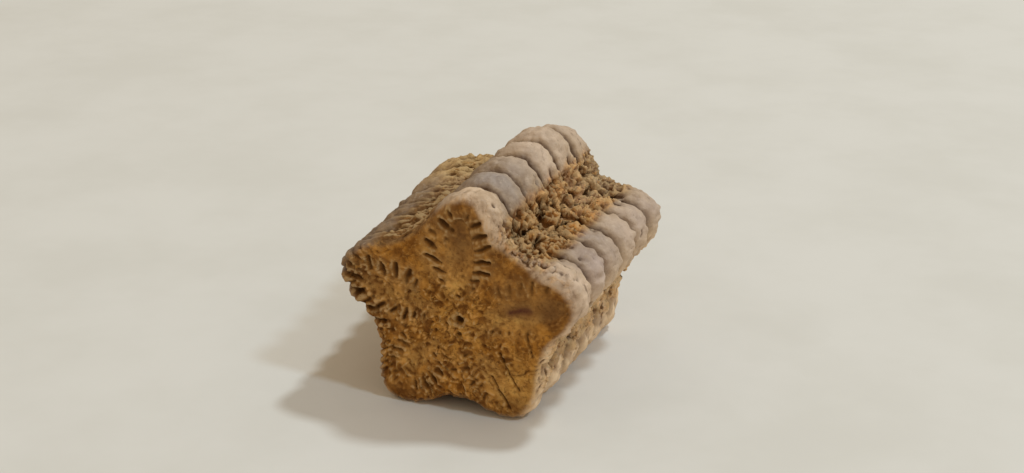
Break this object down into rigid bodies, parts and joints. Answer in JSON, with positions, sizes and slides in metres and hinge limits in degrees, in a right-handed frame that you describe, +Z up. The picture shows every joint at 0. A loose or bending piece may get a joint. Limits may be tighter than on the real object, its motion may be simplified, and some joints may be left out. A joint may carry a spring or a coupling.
{
  "type": "crinoid stem fossil",
  "caption": "Star-shaped stone stem of stacked, cemented discs with scalloped arms, pitted valleys and a petal-patterned end face.",
  "frame": {"origin": "on the surface it lies on, under the middle of the bounding box", "axes": "+Z up, +Y along the stem's axis, away from the petal-patterned star face, +X to the right seen from that face"},
  "size_m": [0.0104, 0.01, 0.0091],
  "materials": {
    "fossil_stone": "matte"
  },
  "bodies": {
    "root": {"crinoid_stem": "fossil_stone"}
  },
  "joints": []
}
